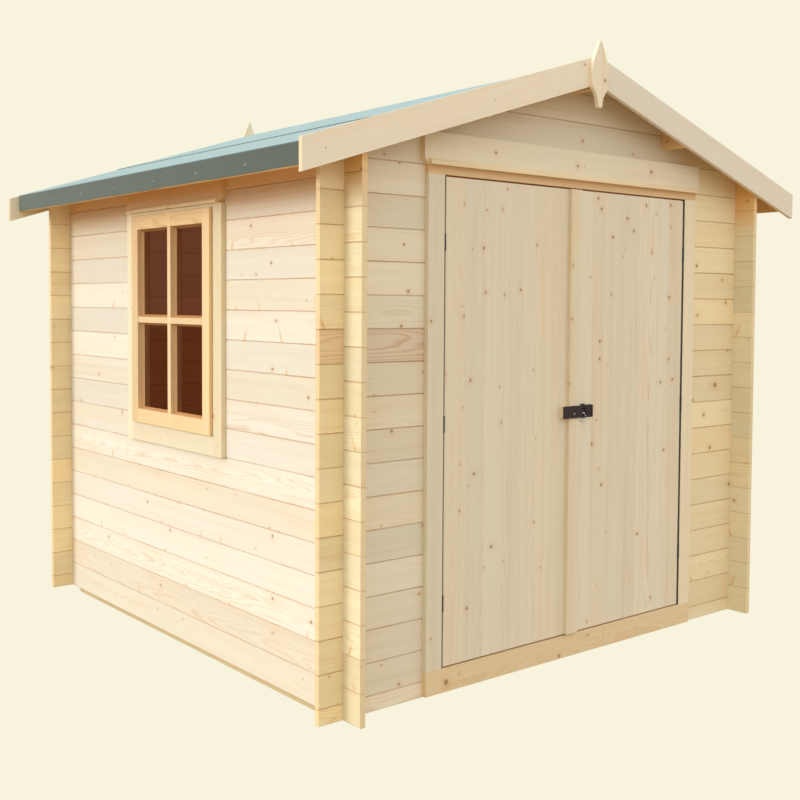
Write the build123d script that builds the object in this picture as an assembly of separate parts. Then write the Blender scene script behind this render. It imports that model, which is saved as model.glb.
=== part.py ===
from build123d import *

import os
from math import atan, cos, radians, sin

# Small garden log cabin: interlocking corner logs, double doors, one side window, felted gable roof.
# Millimetres. X runs right along the front wall, the front wall faces -Y, Z is up, and the
# origin is on the ground under the middle of the cabin. Heights below count from the wall base.

# Wall logs
log_course = 114.0
log_thickness = 22.0
log_bevel = 2.5
front_log_length = 2400.0
side_log_length = 2490.0
corner_overhang = 97.0
side_courses = 16
notch_clearance = 0.5
top_log_height = 128.6

# Foundation and floor
bearer_height = 20.0
bearer_width = 60.0
bearer_inset = 8.0
inner_bearer_count = 3
joist_height = 60.0
joist_width = 38.0
joist_count = 5
joist_end_margin = 35.0
floor_thickness = 16.0
floor_gap = 3.0

# Roof
roof_slope = 0.324
roof_board_thickness = 16.0
eave_overhang = 184.0
gable_overhang = 103.0
felt_thickness = 3.0
felt_lap_inner = 700.0
felt_lap_outer = 800.0
felt_lap_ease = 20.0
fascia_thickness = 15.0
fascia_height = 76.0
purlin_width = 40.0
side_purlin_inner = 545.0
side_purlin_depth = 80.0
ridge_purlin_depth = 90.0
bargeboard_thickness = 18.0
bargeboard_height = 108.0
bargeboard_rise = 18.0
bargeboard_end_reach = 63.0
bargeboard_mitre_gap = 1.0
finial_thickness = 28.0
finial_rise = 67.0
finial_shoulder_drop = 45.0
finial_drop = 199.0
finial_top_width = 12.0
finial_width = 90.0
finial_bottom_width = 24.0

# Doorway
doorway_half = 683.0
jamb_width = 74.0
jamb_cover = 32.0
frame_face = 20.0
frame_head_height = 31.0
frame_groove_clearance = 0.5
door_stop_width = 18.0
door_stop_clearance = 5.0
threshold_top = 92.0
threshold_bottom = 5.0
threshold_joint = 190.0
threshold_joint_gap = 1.0
header_reach = 20.0
header_height = 114.0
header_face = 22.0
header_corner = 20.0

# Door leaves
leaf_gap = 8.0
leaf_end_gap = 6.0
leaf_face = 16.0
leaf_board_thickness = 16.0
leaf_boards = 7
board_groove = 2.0
ledge_thickness = 18.0
ledge_width = 90.0
ledge_side_gap = 30.0
ledge_inset = 82.0
strip_lap = 20.0
strip_width = 62.0
strip_thickness = 15.0
strip_rebate = 5.0

# Door hinges
hinge_inset = 230.0
hinge_length = 60.0
hinge_knuckle_radius = 3.5
hinge_knuckle_room = 0.5
hinge_pin_radius = 1.8
hinge_bore_clearance = 0.2
hinge_axial_gap = 0.4
hinge_plate_thickness = 1.5
hinge_axis_reach = 3.0

# Hasp, staple and ring
hasp_height = 977.0
hasp_width = 48.0
hasp_left = -79.0
hasp_plate_length = 56.0
hasp_plate_thickness = 2.5
hasp_knuckle_radius = 4.5
hasp_pin_radius = 2.0
hasp_block_margin = 2.0
strap_thickness = 3.0
strap_clearance = 0.5
strap_end = 8.0
slot_before_staple = 14.0
slot_after_staple = 38.0
slot_end_clearance = 5.5
staple_centre = 44.0
staple_wire = 2.5
staple_span = 24.0
staple_plate_thickness = 3.0
staple_plate_width = 34.0
staple_plate_height = 56.0
shackle_room = 9.0
ring_radius = 15.0
ring_wire = 2.2
ring_clearance = 0.3
ring_stand_off = 10.0
ring_sides = 24
bend_steps = 8
wire_ease = 0.55

# Window in the left wall
window_centre = 35.0
window_trim_half = 411.0
window_trim_bottom = 798.0
window_trim_height = 981.0
window_trim_side = 66.0
window_trim_sill = 78.0
window_trim_head = 12.0
window_trim_face = 20.0
window_lining = 28.0
window_lining_inside = 14.0
window_stop_width = 18.0
sash_gap = 3.0
sash_face = 33.0
sash_depth = 43.0
sash_stile = 58.0
sash_bar_vertical = 27.0
sash_bar_horizontal = 25.0
sash_bar_recess = 3.0
glass_recess = 28.0
glass_thickness = 4.0
glass_rebate = 8.0
glass_edge_gap = 1.0

# How far a cutting block runs past what it cuts
over = 1.0

# Derived sizes
base = bearer_height
quarter = log_course / 4
wall_top = side_courses * log_course
half_width = front_log_length / 2 - corner_overhang
half_depth = side_log_length / 2 - corner_overhang
room_half_width = half_width - log_thickness - floor_gap
room_half_depth = half_depth - log_thickness - floor_gap

roof_underside_apex = wall_top + top_log_height + roof_slope * half_width
roof_top_apex = roof_underside_apex + roof_board_thickness / cos(atan(roof_slope))
roof_half_span = half_width + eave_overhang
roof_half_length = half_depth + gable_overhang
gable_face = roof_half_length + bargeboard_thickness
side_purlin_outer = side_purlin_inner + purlin_width
side_purlin_bottom = roof_underside_apex - roof_slope * side_purlin_inner - side_purlin_depth
ridge_purlin_bottom = roof_underside_apex - ridge_purlin_depth
bargeboard_apex = roof_top_apex + bargeboard_rise

frame_outer_half = doorway_half + jamb_width
front_stub_half = frame_outer_half - jamb_cover
frame_front = -half_depth - frame_face
frame_back = -half_depth + log_thickness + frame_face
frame_head_top = (side_courses + 0.5) * log_course
frame_head_bottom = frame_head_top - frame_head_height

leaf_front = -half_depth - leaf_face
leaf_back = leaf_front + leaf_board_thickness
leaf_hinge_edge = doorway_half - leaf_gap
leaf_meeting_edge = leaf_gap / 2
leaf_bottom = threshold_top + leaf_end_gap
leaf_top = frame_head_bottom - leaf_end_gap
leaf_middle = (leaf_bottom + leaf_top) / 2
strip_front = leaf_front - strip_thickness

hasp_bottom = hasp_height - hasp_width / 2
hasp_top = hasp_height + hasp_width / 2
hasp_axis_x = hasp_left + hasp_knuckle_radius
hasp_axis_y = strip_front - hasp_knuckle_radius
strap_back = strip_front - hasp_plate_thickness - strap_clearance
strap_front = strap_back - strap_thickness
staple_tip = strap_front - shackle_room

window_trim_top = window_trim_bottom + window_trim_height
window_hole_half = window_trim_half - window_trim_side
window_hole_bottom = window_trim_bottom + window_trim_sill
window_hole_top = window_trim_top - window_trim_head
wall_opening_half = window_hole_half + window_lining
wall_opening_bottom = window_hole_bottom - window_lining
wall_opening_top = window_hole_top + window_lining


def block(x0, x1, y0, y1, z0, z1):
    """Box between two corners, with heights measured from the wall base."""
    centre = ((x0 + x1) / 2, (y0 + y1) / 2, (z0 + z1) / 2 + base)
    return Pos(*centre) * Box(abs(x1 - x0), abs(y1 - y0), abs(z1 - z0))


def along_y(points, y0, y1):
    """Sweep an (x, z) outline from y0 to y1."""
    face = make_face(Polyline(*[(x, z + base) for x, z in points], close=True))
    return extrude(Plane.XZ.offset(-y1) * face, y1 - y0)


def along_x(points, x0, x1):
    """Sweep a (y, z) outline from x0 to x1."""
    face = make_face(Polyline(*[(y, z + base) for y, z in points], close=True))
    return extrude(Plane.YZ.offset(x0) * face, x1 - x0)


def upright(radius, x, y, z0, z1):
    """Round bar standing on end."""
    return Pos(x, y, (z0 + z1) / 2 + base) * Cylinder(radius, z1 - z0)


def mirror_x(shape):
    """The same piece on the other side of the doorway."""
    return mirror(shape, Plane.YZ)


def mirror_y(shape):
    """The same piece at the other gable."""
    return mirror(shape, Plane.XZ)


def roof_under(x):
    """Height of the roof boards' underside."""
    return roof_underside_apex - roof_slope * abs(x)


def roof_over(x):
    """Height of the roof boards' top."""
    return roof_top_apex - roof_slope * abs(x)


def save(name, *pieces):
    """Write one node, with each piece as a solid of its own."""
    solids = []
    for piece in pieces:
        solids.extend(piece.solids())
    shape = solids[0] if len(solids) == 1 else Compound(children=solids)
    export_step(shape, f"parts/{name}.step")


def save_courses(name, logs):
    """Write the even and the odd courses of one wall as two nodes."""
    save(f"{name}_logs_even", *[log for course, log in logs.items() if course % 2 == 0])
    save(f"{name}_logs_odd", *[log for course, log in logs.items() if course % 2])


def log_profile(outer, inner, bottom, top):
    """Log section, bevelled on its weather side where it meets the next log."""
    step = log_bevel if inner > outer else -log_bevel
    return [
        (outer + step, bottom),
        (inner, bottom),
        (inner, top),
        (outer + step, top),
        (outer, top - log_bevel),
        (outer, bottom + log_bevel),
    ]


def notches(middle_height, bottom, top, crossings, x_half, y_half):
    """Cuts that leave the middle half of a log where it crosses another wall."""
    low = middle_height - quarter
    high = middle_height + quarter
    cuts = []
    for x, y in crossings:
        if bottom < low:
            cuts.append(block(x - x_half, x + x_half, y - y_half, y + y_half, bottom - over, low))
        if top > high:
            cuts.append(block(x - x_half, x + x_half, y - y_half, y + y_half, high, top + over))
    return cuts


def cut_all(shape, cuts):
    """Take every cut out of a shape."""
    for cut in cuts:
        shape -= cut
    return shape


def side_log(course, sign):
    """One log of a side wall, numbered from the ground; sign is -1 on the left."""
    bottom = course * log_course
    outer = sign * half_width
    inner = sign * (half_width - log_thickness)
    if course < side_courses:
        top = bottom + log_course
        profile = log_profile(outer, inner, bottom, top)
    else:
        top = roof_under(inner)
        profile = [(outer, bottom), (inner, bottom), (inner, top), (outer, roof_under(outer))]
    log = along_y(profile, -side_log_length / 2, side_log_length / 2)
    x = sign * (half_width - log_thickness / 2)
    y = half_depth - log_thickness / 2
    half_notch = log_thickness / 2 + notch_clearance
    middle_height = bottom + log_course / 2
    crossings = ((x, -y), (x, y))
    return cut_all(log, notches(middle_height, bottom, top, crossings, log_thickness, half_notch))


def cross_log(course, sign):
    """One log of the front or back wall, half a course out of step with the side walls."""
    middle_height = course * log_course
    bottom = max(0.0, middle_height - log_course / 2)
    top = min(roof_underside_apex, middle_height + log_course / 2)
    outer = sign * half_depth
    inner = sign * (half_depth - log_thickness)
    log = along_x(log_profile(outer, inner, bottom, top), -front_log_length / 2, front_log_length / 2)
    if course > side_courses + 1:
        return log
    x = half_width - log_thickness / 2
    y = sign * (half_depth - log_thickness / 2)
    half_notch = log_thickness / 2 + notch_clearance
    notched_top = top if course <= side_courses else middle_height
    crossings = ((-x, y), (x, y))
    return cut_all(log, notches(middle_height, bottom, notched_top, crossings, half_notch, log_thickness))


def gable_outline(sign):
    """Everything under the roof boards, across the thickness of one gable wall."""
    edge = front_log_length / 2 + over
    outline = [
        (-edge, wall_top),
        (edge, wall_top),
        (edge, roof_under(edge)),
        (0, roof_underside_apex),
        (-edge, roof_under(edge)),
    ]
    y0, y1 = sorted((sign * (half_depth + over), sign * (half_depth - log_thickness - over)))
    return along_y(outline, y0, y1)


def purlin_pockets(sign):
    """Slots in the gable logs where the purlins pass through."""
    y0, y1 = sorted((sign * (half_depth + over), sign * (half_depth - log_thickness - over)))
    ridge_half = purlin_width / 2 + notch_clearance
    top = roof_underside_apex + over
    cuts = [block(-ridge_half, ridge_half, y0, y1, ridge_purlin_bottom, top)]
    x0 = side_purlin_inner - notch_clearance
    x1 = side_purlin_outer + notch_clearance
    for side in (-1, 1):
        cuts.append(block(side * x0, side * x1, y0, y1, side_purlin_bottom, top))
    return cuts


def gable_logs(sign):
    """Logs above the side walls, cut to the roof slope and let over the purlins."""
    outline = gable_outline(sign)
    pockets = purlin_pockets(sign)
    keep = side_purlin_inner - notch_clearance
    reach = half_depth + over
    between_purlins = block(-keep, keep, -reach, reach, wall_top, roof_underside_apex)
    logs = {}
    course = side_courses + 1
    while (course - 0.5) * log_course < roof_underside_apex - log_bevel:
        log = cross_log(course, sign) & outline
        if (course - 0.5) * log_course > side_purlin_bottom:
            log = log & between_purlins
        logs[course] = cut_all(log, pockets)
        course += 1
    return logs


def build_side_walls():
    """Side walls, with the window opening cut through the left one."""
    opening = block(
        -half_width - over, -half_width + log_thickness + over,
        window_centre - wall_opening_half, window_centre + wall_opening_half,
        wall_opening_bottom, wall_opening_top,
    )
    for name, sign in (("left_wall", -1), ("right_wall", 1)):
        logs = {course: side_log(course, sign) for course in range(side_courses + 1)}
        if sign < 0:
            logs = {course: log - opening for course, log in logs.items()}
            save("log_under_window", logs.pop(int(wall_opening_bottom // log_course)))
            save("log_over_window", logs.pop(int(wall_opening_top // log_course)))
        save_courses(name, logs)


def build_back_wall():
    """Back wall with its gable."""
    logs = {course: cross_log(course, 1) for course in range(side_courses + 1)}
    logs.update(gable_logs(1))
    save_courses("back_wall", logs)


def build_front_wall():
    """Front wall, split beside the doorway, with its gable over it."""
    save_courses("front_gable", gable_logs(-1))
    save("front_base_log", cross_log(0, -1))
    doorway = block(-front_stub_half, front_stub_half, frame_front, frame_back, 0, frame_head_top)
    logs = {course: cross_log(course, -1) - doorway for course in range(1, side_courses + 1)}
    save_courses("front_wall", logs)


def build_floor():
    """Bearers on the ground, joists across them and the floor boards."""
    bearers = []
    x0 = half_width - bearer_inset - bearer_width
    for sign in (-1, 1):
        bearers.append(block(
            sign * x0, sign * (x0 + bearer_width),
            -side_log_length / 2, side_log_length / 2, -bearer_height, 0,
        ))
    spacing = 2 * half_width / (inner_bearer_count + 1)
    for index in range(inner_bearer_count):
        x = (index - (inner_bearer_count - 1) / 2) * spacing
        bearers.append(block(
            x - bearer_width / 2, x + bearer_width / 2, -half_depth, half_depth, -bearer_height, 0,
        ))
    save("foundation_bearers", *bearers)

    joists = []
    reach = room_half_depth - joist_end_margin - joist_width / 2
    for index in range(joist_count):
        y = (2 * index / (joist_count - 1) - 1) * reach
        joists.append(block(
            -room_half_width, room_half_width, y - joist_width / 2, y + joist_width / 2, 0, joist_height,
        ))
    save("floor_joists", *joists)
    save("floor_deck", block(
        -room_half_width, room_half_width, frame_back + floor_gap, room_half_depth,
        joist_height, joist_height + floor_thickness,
    ))


def build_roof_boards():
    """Two slopes of roof boards, meeting at the ridge."""
    for name, sign in (("left", -1), ("right", 1)):
        x = sign * roof_half_span
        outline = [(0, roof_underside_apex), (x, roof_under(x)), (x, roof_over(x)), (0, roof_top_apex)]
        save(f"roof_boards_{name}", along_y(outline, -roof_half_length, roof_half_length))


def build_eaves():
    """Fascias on the board ends, and the lower felt, wrapped down over them."""
    inner = roof_half_span
    outer = roof_half_span + fascia_thickness
    drop = roof_over(outer) - fascia_height
    outline = [(inner, drop), (outer, drop), (outer, roof_over(outer)), (inner, roof_over(inner))]
    fascia = along_y(outline, -roof_half_length, roof_half_length)
    save("eave_fascias", mirror_x(fascia), fascia)

    wrap = outer + felt_thickness
    outline = [
        (outer, drop),
        (wrap, drop),
        (wrap, roof_over(wrap) + felt_thickness),
        (felt_lap_inner, roof_over(felt_lap_inner) + felt_thickness),
        (felt_lap_inner, roof_over(felt_lap_inner)),
        (outer, roof_over(outer)),
    ]
    felt = along_y(outline, -roof_half_length, roof_half_length)
    save("eave_felt", mirror_x(felt), felt)


def build_ridge_felt():
    """Felt over the ridge, lapped down onto the lower strips."""
    ease = felt_lap_inner - felt_lap_ease
    right = [
        (felt_lap_inner, roof_over(felt_lap_inner)),
        (felt_lap_inner, roof_over(felt_lap_inner) + felt_thickness),
        (felt_lap_outer, roof_over(felt_lap_outer) + felt_thickness),
        (felt_lap_outer, roof_over(felt_lap_outer) + 2 * felt_thickness),
        (felt_lap_inner, roof_over(felt_lap_inner) + 2 * felt_thickness),
        (ease, roof_over(ease) + felt_thickness),
    ]
    left = [(-x, z) for x, z in reversed(right)]
    outline = [(0, roof_top_apex), *right, (0, roof_top_apex + felt_thickness), *left]
    save("ridge_felt", along_y(outline, -roof_half_length, roof_half_length))


def build_purlins():
    """Purlins under the ridge and half way down each slope."""
    half = purlin_width / 2
    outline = [
        (-half, ridge_purlin_bottom),
        (half, ridge_purlin_bottom),
        (half, roof_under(half)),
        (0, roof_underside_apex),
        (-half, roof_under(half)),
    ]
    save("ridge_purlin", along_y(outline, -roof_half_length, roof_half_length))
    outline = [
        (side_purlin_inner, side_purlin_bottom),
        (side_purlin_outer, side_purlin_bottom),
        (side_purlin_outer, roof_under(side_purlin_outer)),
        (side_purlin_inner, roof_under(side_purlin_inner)),
    ]
    purlin = along_y(outline, -roof_half_length, roof_half_length)
    save("side_purlins", mirror_x(purlin), purlin)


def build_gable_trim():
    """Bargeboards on both gables, with a kite-shaped finial over each mitre."""
    start = bargeboard_mitre_gap / 2
    end = roof_half_span + bargeboard_end_reach
    fall = roof_slope * end
    outline = [
        (start, bargeboard_apex - bargeboard_height),
        (end, bargeboard_apex - bargeboard_height - fall),
        (end, bargeboard_apex - fall),
        (start, bargeboard_apex),
    ]
    board = along_y(outline, -gable_face, -roof_half_length)
    save("front_bargeboards", mirror_x(board), board)
    save("back_bargeboards", mirror_y(mirror_x(board)), mirror_y(board))

    right = [
        (finial_bottom_width / 2, bargeboard_apex - finial_drop),
        (finial_width / 2, bargeboard_apex - finial_shoulder_drop),
        (finial_top_width / 2, bargeboard_apex + finial_rise),
    ]
    left = [(-x, z) for x, z in reversed(right)]
    finial = along_y(right + left, -gable_face - finial_thickness, -gable_face)
    save("finials", finial, mirror_y(finial))


def build_door_frame():
    """Jambs grooved over the log ends, head, sill and the threshold board in two lengths."""
    log_front = -half_depth - frame_groove_clearance
    log_back = -half_depth + log_thickness + frame_groove_clearance
    jamb = block(
        -frame_outer_half, -doorway_half, frame_front, frame_back, threshold_top, frame_head_bottom,
    )
    jamb -= block(
        -frame_outer_half - over, -front_stub_half, log_front, log_back,
        threshold_top - over, frame_head_bottom + over,
    )
    stop_front = leaf_back + door_stop_clearance
    jamb += block(
        -doorway_half, -doorway_half + door_stop_width, stop_front, frame_back,
        threshold_top, frame_head_bottom,
    )
    save("door_jambs", jamb, mirror_x(jamb))

    head = block(
        -frame_outer_half, frame_outer_half, frame_front, frame_back, frame_head_bottom, frame_head_top,
    )
    for sign in (-1, 1):
        head -= block(
            sign * front_stub_half, sign * (frame_outer_half + over), log_front, log_back,
            frame_head_bottom - over, frame_head_top + over,
        )
    save("door_head", head)

    save("door_sill", block(
        -front_stub_half, front_stub_half, -half_depth, frame_back, log_course / 2, threshold_top,
    ))
    half_gap = threshold_joint_gap / 2
    section = (frame_front, -half_depth, threshold_bottom, threshold_top)
    save(
        "threshold_boards",
        block(-frame_outer_half, threshold_joint - half_gap, *section),
        block(threshold_joint + half_gap, frame_outer_half, *section),
    )


def header_outline(start, end, bottom):
    """Header board with its two lower corners cut off."""
    return [
        (start + header_corner, bottom),
        (end - header_corner, bottom),
        (end, bottom + header_corner),
        (end, bottom + header_height),
        (start, bottom + header_height),
        (start, bottom + header_corner),
    ]


def build_headers():
    """Boards over the doorway and over the window."""
    half = frame_outer_half + header_reach
    over_door = along_y(header_outline(-half, half, frame_head_top), -half_depth - header_face, -half_depth)
    start = window_centre - window_trim_half
    end = window_centre + window_trim_half
    outline = header_outline(start, end, window_trim_top)
    over_window = along_x(outline, -half_width - header_face, -half_width)
    save("header_boards", over_door, over_window)


def build_leaf_boards():
    """Door leaves of upright boards, with a V groove at each board joint."""
    leaf = block(-leaf_hinge_edge, -leaf_meeting_edge, leaf_front, leaf_back, leaf_bottom, leaf_top)
    pitch = (leaf_hinge_edge - leaf_meeting_edge) / leaf_boards
    for index in range(1, leaf_boards):
        x = -leaf_hinge_edge + index * pitch
        for face, depth in ((leaf_front, board_groove), (leaf_back, -board_groove)):
            corners = ((x - board_groove, face), (x + board_groove, face), (x, face + depth))
            section = make_face(Polyline(*corners, close=True))
            leaf -= extrude(Plane.XY.offset(base + leaf_bottom) * section, leaf_top - leaf_bottom)
    save("left_door_boards", leaf)
    save("right_door_boards", mirror_x(leaf))


def build_ledges():
    """Ledges and braces on the inside of each leaf."""
    x0 = -leaf_hinge_edge + ledge_side_gap
    x1 = -leaf_meeting_edge - ledge_side_gap
    back = leaf_back + ledge_thickness
    heights = (leaf_bottom + ledge_inset, leaf_middle, leaf_top - ledge_inset)
    half = ledge_width / 2
    bars = [block(x0, x1, leaf_back, back, z - half, z + half) for z in heights]
    for lower, upper in zip(heights, heights[1:]):
        outline = [
            (x0, lower + half),
            (x0 + ledge_width, lower + half),
            (x1, upper - half),
            (x1 - ledge_width, upper - half),
        ]
        bars.append(along_y(outline, leaf_back, back))
    ledges = bars[0].fuse(*bars[1:])
    save("left_door_ledges", ledges)
    save("right_door_ledges", mirror_x(ledges))


def build_meeting_strip():
    """Cover strip on the left leaf, rebated to clear the right one, and the block under the hasp."""
    right = strip_lap
    left = right - strip_width
    strip = block(left, right, strip_front, leaf_front, leaf_bottom, leaf_top)
    strip -= block(
        -leaf_meeting_edge, right + over, leaf_front - strip_rebate, leaf_front + over,
        leaf_bottom - over, leaf_top + over,
    )
    save("meeting_strip", strip)
    save("hasp_block", block(
        hasp_axis_x, left, strip_front, leaf_front,
        hasp_bottom + hasp_block_margin, hasp_top - hasp_block_margin,
    ))


def build_hinges():
    """Butt hinges: the outer knuckles and pin on the jamb, the middle knuckle on the leaf."""
    x = -doorway_half + leaf_gap / 2
    y = leaf_front - hinge_axis_reach
    half_knuckle = hinge_length / 6
    room = hinge_knuckle_radius + hinge_knuckle_room
    bore = hinge_pin_radius + hinge_bore_clearance
    fixed = []
    moving = []
    for z in (leaf_bottom + hinge_inset, leaf_middle, leaf_top - hinge_inset):
        low = z - hinge_length / 2
        high = z + hinge_length / 2
        plate_edge = -doorway_half + hinge_plate_thickness
        frame_side = upright(hinge_knuckle_radius, x, y, low, high)
        frame_side += block(-doorway_half, plate_edge, y, leaf_back, low, high)
        frame_side -= upright(room, x, y, z - half_knuckle, z + half_knuckle)
        frame_side += upright(hinge_pin_radius, x, y, z - half_knuckle - over, z + half_knuckle + over)
        fixed.append(frame_side)

        low = z - half_knuckle + hinge_axial_gap
        high = z + half_knuckle - hinge_axial_gap
        leaf_side = upright(hinge_knuckle_radius, x, y, low, high)
        plate_edge = -leaf_hinge_edge - hinge_plate_thickness
        leaf_side += block(plate_edge, -leaf_hinge_edge, y, leaf_back, low, high)
        leaf_side -= upright(bore, x, y, low - over, high + over)
        moving.append(leaf_side)
    save("hinges_on_frame", *fixed, *[mirror_x(hinge) for hinge in fixed])
    save("left_door_hinges", *moving)
    save("right_door_hinges", *[mirror_x(hinge) for hinge in moving])


def build_hasp():
    """Hasp plate on the left leaf and the slotted strap that folds over the staple."""
    third = hasp_width / 3
    middle_low = hasp_bottom + third
    middle_high = hasp_top - third
    plate = block(
        hasp_axis_x, hasp_left + hasp_plate_length, strip_front - hasp_plate_thickness, strip_front,
        hasp_bottom, hasp_top,
    )
    plate += upright(hasp_knuckle_radius, hasp_axis_x, hasp_axis_y, hasp_bottom, hasp_top)
    room = hasp_knuckle_radius + strap_clearance
    plate -= upright(room, hasp_axis_x, hasp_axis_y, middle_low, middle_high)
    plate += upright(hasp_pin_radius, hasp_axis_x, hasp_axis_y, middle_low - over, middle_high + over)
    save("hasp_plate", plate)

    low = middle_low + hinge_axial_gap
    high = middle_high - hinge_axial_gap
    slot_left = staple_centre - slot_before_staple
    slot_right = staple_centre + slot_after_staple
    slot_half = staple_span / 2 + staple_wire + slot_end_clearance
    body_left = hasp_axis_x + hasp_knuckle_radius + strap_clearance
    strap = block(body_left, slot_right + strap_end, strap_front, strap_back, hasp_bottom, hasp_top)
    strap += block(hasp_axis_x, body_left, strap_front, strap_back, low, high)
    strap += upright(hasp_knuckle_radius, hasp_axis_x, hasp_axis_y, low, high)
    bore = hasp_pin_radius + hinge_bore_clearance
    strap -= upright(bore, hasp_axis_x, hasp_axis_y, low - over, high + over)
    strap -= block(
        slot_left, slot_right, strap_front - over, strap_back + over,
        hasp_height - slot_half, hasp_height + slot_half,
    )
    save("hasp_strap", strap)


def arc_points(y, z, radius, start, end):
    """Points round a bend, from one angle to another in degrees."""
    steps = [start + (end - start) * step / bend_steps for step in range(bend_steps + 1)]
    return [(y + radius * cos(radians(angle)), z + radius * sin(radians(angle))) for angle in steps]


def build_staple():
    """Staple on the right leaf, standing through the strap, with a ring hung on its lower leg."""
    plate_front = leaf_front - staple_plate_thickness
    plate = block(
        staple_centre - staple_plate_width / 2, staple_centre + staple_plate_width / 2,
        plate_front, leaf_front,
        hasp_height - staple_plate_height / 2, hasp_height + staple_plate_height / 2,
    )
    half_span = staple_span / 2
    bend = staple_tip + half_span
    outer = half_span + staple_wire
    inner = half_span - staple_wire
    outline = [
        (plate_front, hasp_height + outer),
        *arc_points(bend, hasp_height, outer, 90, 270),
        (plate_front, hasp_height - outer),
        (plate_front, hasp_height - inner),
        *arc_points(bend, hasp_height, inner, 270, 90),
        (plate_front, hasp_height + inner),
    ]
    loop = along_x(outline, staple_centre - staple_wire, staple_centre + staple_wire)
    rims = loop.edges().filter_by(Plane.YZ).filter_by(lambda edge: edge.center().Y < plate_front)
    save("staple", plate + chamfer(rims, wire_ease * staple_wire))

    outer = RegularPolygon(ring_radius + ring_wire, ring_sides)
    inner = RegularPolygon(ring_radius - ring_wire, ring_sides)
    ring = extrude(outer - inner, ring_wire, both=True)
    rims = ring.edges().filter_by(Plane.XY)
    ring = Rot(90, 0, 0) * chamfer(rims, wire_ease * ring_wire)
    hung_from = hasp_height - half_span + staple_wire + ring_clearance
    ring_height = hung_from + ring_wire - ring_radius + base
    save("staple_ring", Pos(staple_centre, leaf_front - ring_stand_off, ring_height) * ring)


def build_window_frame():
    """Window frame: flat trim on the logs and a lining through the wall, with a stop behind the sash."""
    outer = -half_width - window_trim_face
    lining_back = -half_width + log_thickness + window_lining_inside
    frame = block(
        outer, -half_width, window_centre - window_trim_half, window_centre + window_trim_half,
        window_trim_bottom, window_trim_top,
    )
    frame += block(
        -half_width, lining_back, window_centre - wall_opening_half, window_centre + wall_opening_half,
        wall_opening_bottom, wall_opening_top,
    )
    frame -= block(
        outer - over, -half_width - sash_face + sash_depth,
        window_centre - window_hole_half, window_centre + window_hole_half,
        window_hole_bottom, window_hole_top,
    )
    stop_half = window_hole_half - window_stop_width
    frame -= block(
        outer - over, lining_back + over, window_centre - stop_half, window_centre + stop_half,
        window_hole_bottom + window_stop_width, window_hole_top - window_stop_width,
    )
    save("window_frame", frame)


def build_sash():
    """Glazed sash with one upright and one level bar in front of the glass."""
    front = -half_width - sash_face
    back = front + sash_depth
    half = window_hole_half - sash_gap
    low = window_hole_bottom + sash_gap
    high = window_hole_top - sash_gap
    pane_half = half - sash_stile
    pane_low = low + sash_stile
    pane_high = high - sash_stile
    glass_front = front + glass_recess
    sash = block(front, back, window_centre - half, window_centre + half, low, high)
    sash -= block(
        front - over, back + over, window_centre - pane_half, window_centre + pane_half,
        pane_low, pane_high,
    )
    rebate_half = pane_half + glass_rebate
    sash -= block(
        glass_front, back + over, window_centre - rebate_half, window_centre + rebate_half,
        pane_low - glass_rebate, pane_high + glass_rebate,
    )
    bar_front = front + sash_bar_recess
    half_bar = sash_bar_vertical / 2
    sash += block(
        bar_front, glass_front, window_centre - half_bar, window_centre + half_bar, pane_low, pane_high,
    )
    middle = (pane_low + pane_high) / 2
    half_bar = sash_bar_horizontal / 2
    sash += block(
        bar_front, glass_front, window_centre - pane_half, window_centre + pane_half,
        middle - half_bar, middle + half_bar,
    )
    save("window_sash", sash)

    reach = glass_rebate - glass_edge_gap
    save("window_glass", block(
        glass_front, glass_front + glass_thickness,
        window_centre - pane_half - reach, window_centre + pane_half + reach,
        pane_low - reach, pane_high + reach,
    ))


def main():
    os.makedirs("parts", exist_ok=True)
    build_floor()
    build_side_walls()
    build_back_wall()
    build_front_wall()
    build_roof_boards()
    build_eaves()
    build_ridge_felt()
    build_purlins()
    build_gable_trim()
    build_door_frame()
    build_headers()
    build_leaf_boards()
    build_ledges()
    build_meeting_strip()
    build_hinges()
    build_hasp()
    build_staple()
    build_window_frame()
    build_sash()


main()
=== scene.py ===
import math
import random

import bmesh
import bpy
from mathutils import Matrix, Vector


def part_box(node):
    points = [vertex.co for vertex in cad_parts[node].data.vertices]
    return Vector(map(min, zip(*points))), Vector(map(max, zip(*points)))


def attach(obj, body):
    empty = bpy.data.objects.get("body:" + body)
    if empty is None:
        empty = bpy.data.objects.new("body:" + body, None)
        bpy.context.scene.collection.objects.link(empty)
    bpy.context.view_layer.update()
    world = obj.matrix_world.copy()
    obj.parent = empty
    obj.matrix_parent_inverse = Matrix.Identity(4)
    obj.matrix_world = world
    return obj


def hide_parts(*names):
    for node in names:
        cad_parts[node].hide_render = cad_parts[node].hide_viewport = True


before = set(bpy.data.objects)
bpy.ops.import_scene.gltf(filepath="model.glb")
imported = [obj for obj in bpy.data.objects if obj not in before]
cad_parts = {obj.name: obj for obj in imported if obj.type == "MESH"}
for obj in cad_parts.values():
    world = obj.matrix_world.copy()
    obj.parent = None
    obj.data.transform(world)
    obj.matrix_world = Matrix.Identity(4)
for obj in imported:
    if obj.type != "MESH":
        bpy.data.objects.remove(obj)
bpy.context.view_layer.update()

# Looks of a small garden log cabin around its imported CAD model. Metres, Z up, front wall facing -Y.
# Colours with three whole numbers are display values from 0 to 255, the others are linear light.

# Camera, fitted to the corners of the cabin
CAMERA_PLACE = (-3.23839, -4.10199, 1.41871)
CAMERA_YAW = 39.4618
CAMERA_PITCH = -2.5382
CAMERA_ROLL = 0.3592
CAMERA_LENS = 49.63
CAMERA_SHIFT = (-0.0164, -0.0599)

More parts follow.
